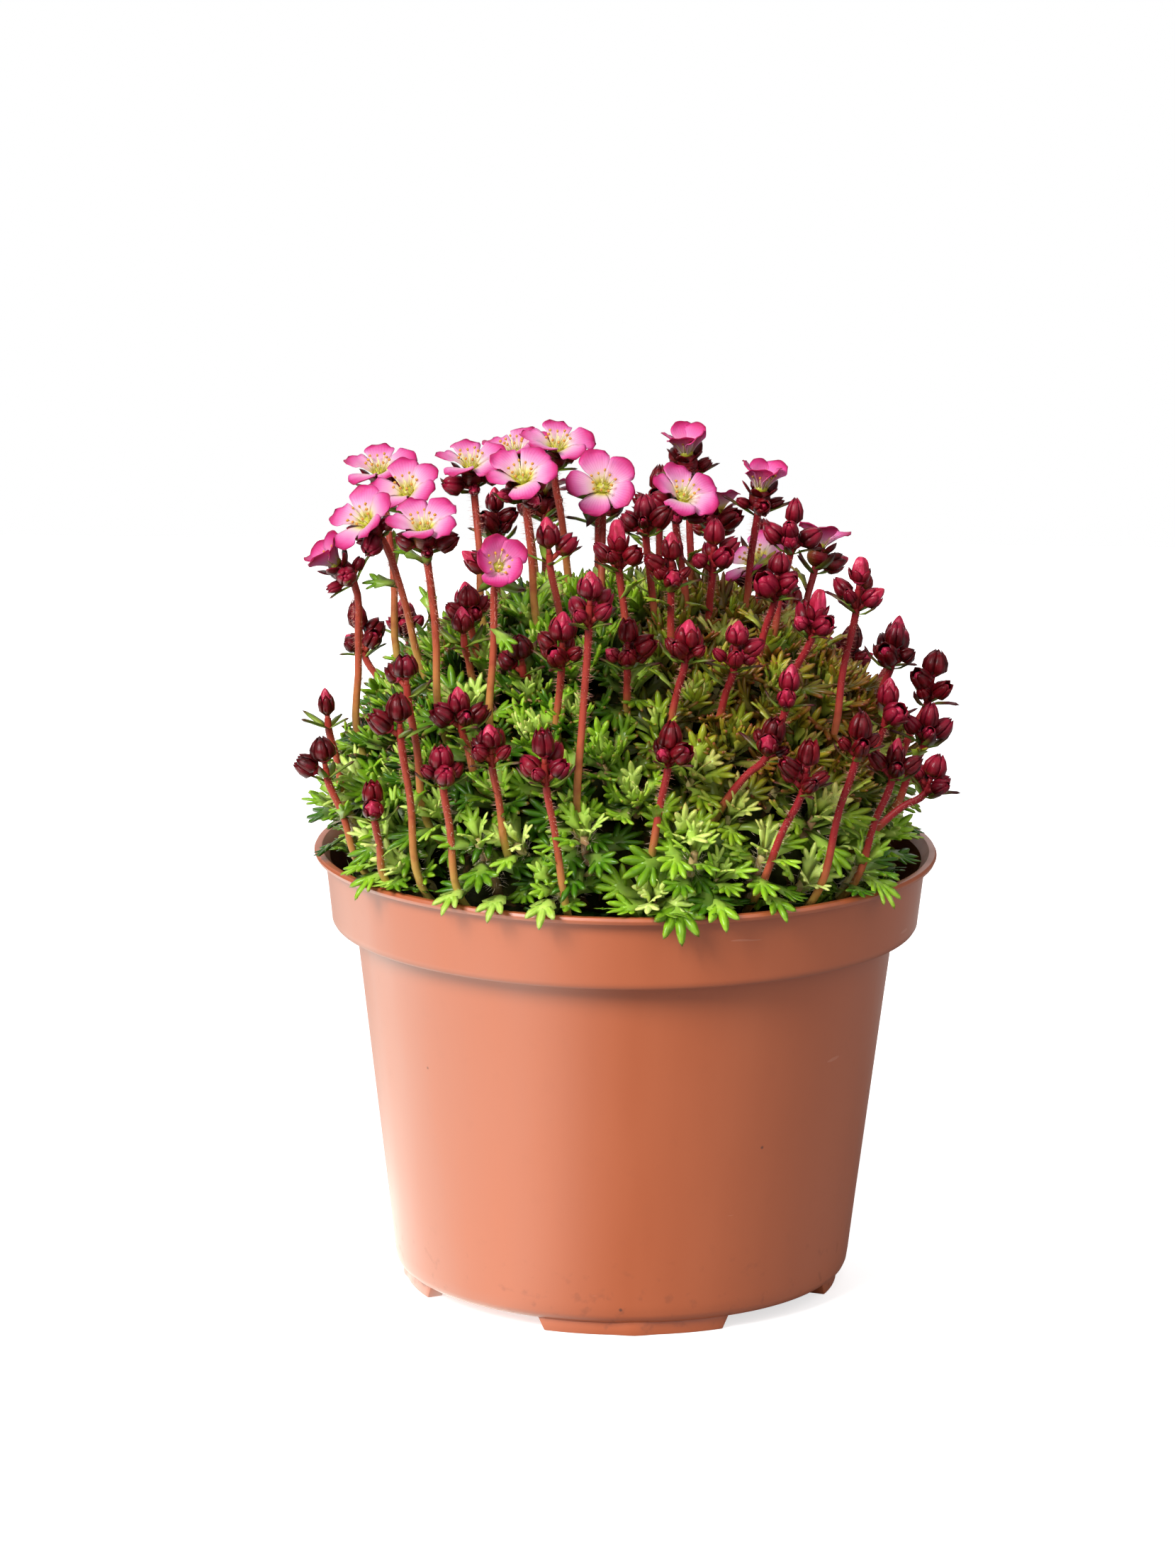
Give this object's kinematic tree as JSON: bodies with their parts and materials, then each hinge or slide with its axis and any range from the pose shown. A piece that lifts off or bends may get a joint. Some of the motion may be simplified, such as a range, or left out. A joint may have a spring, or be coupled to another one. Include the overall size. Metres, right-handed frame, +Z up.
{
  "type": "potted saxifrage",
  "caption": "Mossy saxifrage in a round terracotta-coloured nursery pot: a dome of lobed leaf rosettes under pink flowers and dark buds on slender stems.",
  "frame": {"origin": "on the ground under the middle of the pot", "axes": "+Z up along the pot's axis, -Y to the front that the picture shows, +X to its right"},
  "size_m": [0.1302, 0.1293, 0.1657],
  "materials": {
    "pot": "satin, moulded",
    "compost": "moist peat, rough",
    "cushion": "soft satin leaf",
    "spray": "fleshy, finely hairy",
    "bloom": "matt petal"
  },
  "bodies": {
    "root": {"pot": "pot", "compost": "compost", "spray_01": "spray", "spray_02": "spray", "spray_03": "spray", "spray_04": "spray", "spray_05": "spray", "spray_06": "spray", "spray_07": "spray", "spray_08": "spray", "spray_09": "spray", "spray_10": "spray", "spray_11": "spray", "spray_12": "spray", "spray_13": "spray", "spray_14": "spray", "spray_15": "spray", "spray_16": "spray", "spray_17": "spray", "spray_18": "spray", "spray_19": "spray", "spray_20": "spray", "spray_21": "spray", "spray_22": "spray", "spray_23": "spray", "spray_24": "spray", "spray_25": "spray", "spray_26": "spray", "spray_27": "spray", "spray_28": "spray", "spray_29": "spray", "spray_30": "spray", "spray_31": "spray", "spray_32": "spray", "spray_33": "spray", "spray_34": "spray", "spray_35": "spray", "spray_36": "spray", "spray_37": "spray", "spray_38": "spray", "spray_39": "spray", "bloom_01": "bloom", "bloom_02": "bloom", "bloom_03": "bloom", "bloom_04": "bloom", "bloom_05": "bloom", "bloom_06": "bloom", "bloom_07": "bloom", "bloom_08": "bloom", "bloom_09": "bloom", "bloom_10": "bloom", "bloom_11": "bloom", "bloom_12": "bloom", "bloom_13": "bloom", "bloom_14": "bloom", "bloom_15": "bloom", "bloom_16": "bloom", "bloom_17": "bloom", "bloom_18": "bloom", "cushion": "cushion"}
  },
  "joints": []
}
